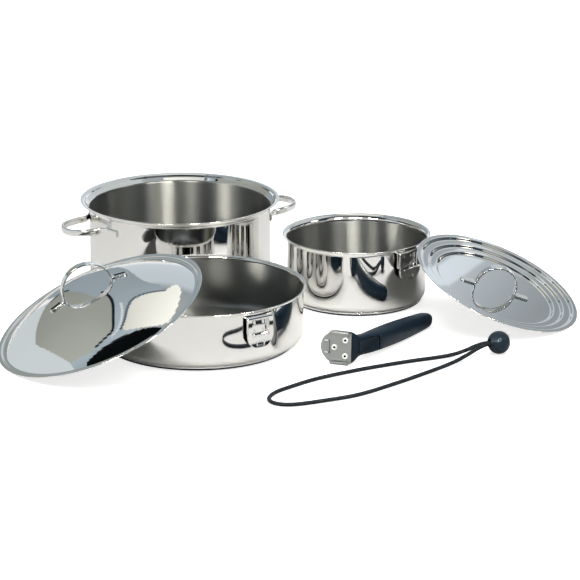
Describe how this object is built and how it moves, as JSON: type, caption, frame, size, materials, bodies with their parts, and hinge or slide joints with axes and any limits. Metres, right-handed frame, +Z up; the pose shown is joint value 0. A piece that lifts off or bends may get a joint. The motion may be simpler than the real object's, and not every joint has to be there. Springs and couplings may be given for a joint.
{
  "type": "camping_cook_pot_set",
  "caption": "Nesting camping cook set in polished steel: stock pot with side handles, saute pan, saucepan, dome lid, universal lid, clip-on handle with thumb lock and a ball bungee.",
  "frame": {"origin": "centre of the stock pot's base on the floor", "axes": "+Z up, +X to the right and +Y to the back as the set is laid out"},
  "size_m": [0.7285, 0.6551, 0.1214],
  "materials": {
    "polished_steel": "mirror polished",
    "satin_steel": "satin",
    "base_aluminium": "satin",
    "black_plastic": "fine matte",
    "black_rubber": "semi matte",
    "black_cord": "braided"
  },
  "bodies": {
    "stock_pot": {"stock_pot_shell": "polished_steel", "stock_pot_core_disc": "base_aluminium", "stock_pot_base_cap": "polished_steel", "stock_pot_handle_left": "polished_steel", "stock_pot_handle_right": "polished_steel"},
    "saute_pan": {"saute_pan_shell": "polished_steel", "saute_pan_core_disc": "base_aluminium", "saute_pan_base_cap": "polished_steel", "saute_pan_bracket": "polished_steel"},
    "saucepan": {"saucepan_shell": "polished_steel", "saucepan_core_disc": "base_aluminium", "saucepan_base_cap": "polished_steel", "saucepan_bracket": "polished_steel"},
    "lid": {"lid_disc": "polished_steel", "lid_handle": "polished_steel"},
    "universal_lid": {"universal_lid_disc": "polished_steel", "universal_lid_handle": "polished_steel"},
    "handle": {"handle_grip": "black_plastic", "handle_head_plate": "satin_steel", "handle_rivets": "satin_steel", "latch_spring": "satin_steel"},
    "lock_slide": {"thumb_slide": "black_plastic", "latch_bar": "satin_steel"},
    "bungee": {"bungee_cord": "black_cord", "bungee_ball": "black_rubber", "bungee_knot": "black_cord"}
  },
  "joints": [
    {"name": "saute_pan_lift", "type": "slide", "parent": "stock_pot", "child": "saute_pan", "axis": [0, 0, 1], "range_m": [0, 0.12]},
    {"name": "lid_lift", "type": "slide", "parent": "saute_pan", "child": "lid", "axis": [0, 0, 1], "range_m": [0, 0.1]},
    {"name": "saucepan_lift", "type": "slide", "parent": "stock_pot", "child": "saucepan", "axis": [0, 0, 1], "range_m": [0, 0.12]},
    {"name": "universal_lid_lift", "type": "slide", "parent": "saucepan", "child": "universal_lid", "axis": [0, 0, 1], "range_m": [0, 0.1]},
    {"name": "handle_pick_up", "type": "slide", "parent": "stock_pot", "child": "handle", "axis": [-0.2496, -0.6489, 0.7188], "range_m": [0, 0.12]},
    {"name": "thumb_slide_travel", "type": "slide", "parent": "handle", "child": "lock_slide", "axis": [0.7247, 0.6867, -0.0568], "range_m": [0, 0.0035], "stiffness_N_per_m": 400, "springref_m": -0.002, "deforming": ["latch_spring"]},
    {"name": "bungee_lift", "type": "slide", "parent": "stock_pot", "child": "bungee", "axis": [0, 0, 1], "range_m": [0, 0.2]}
  ]
}
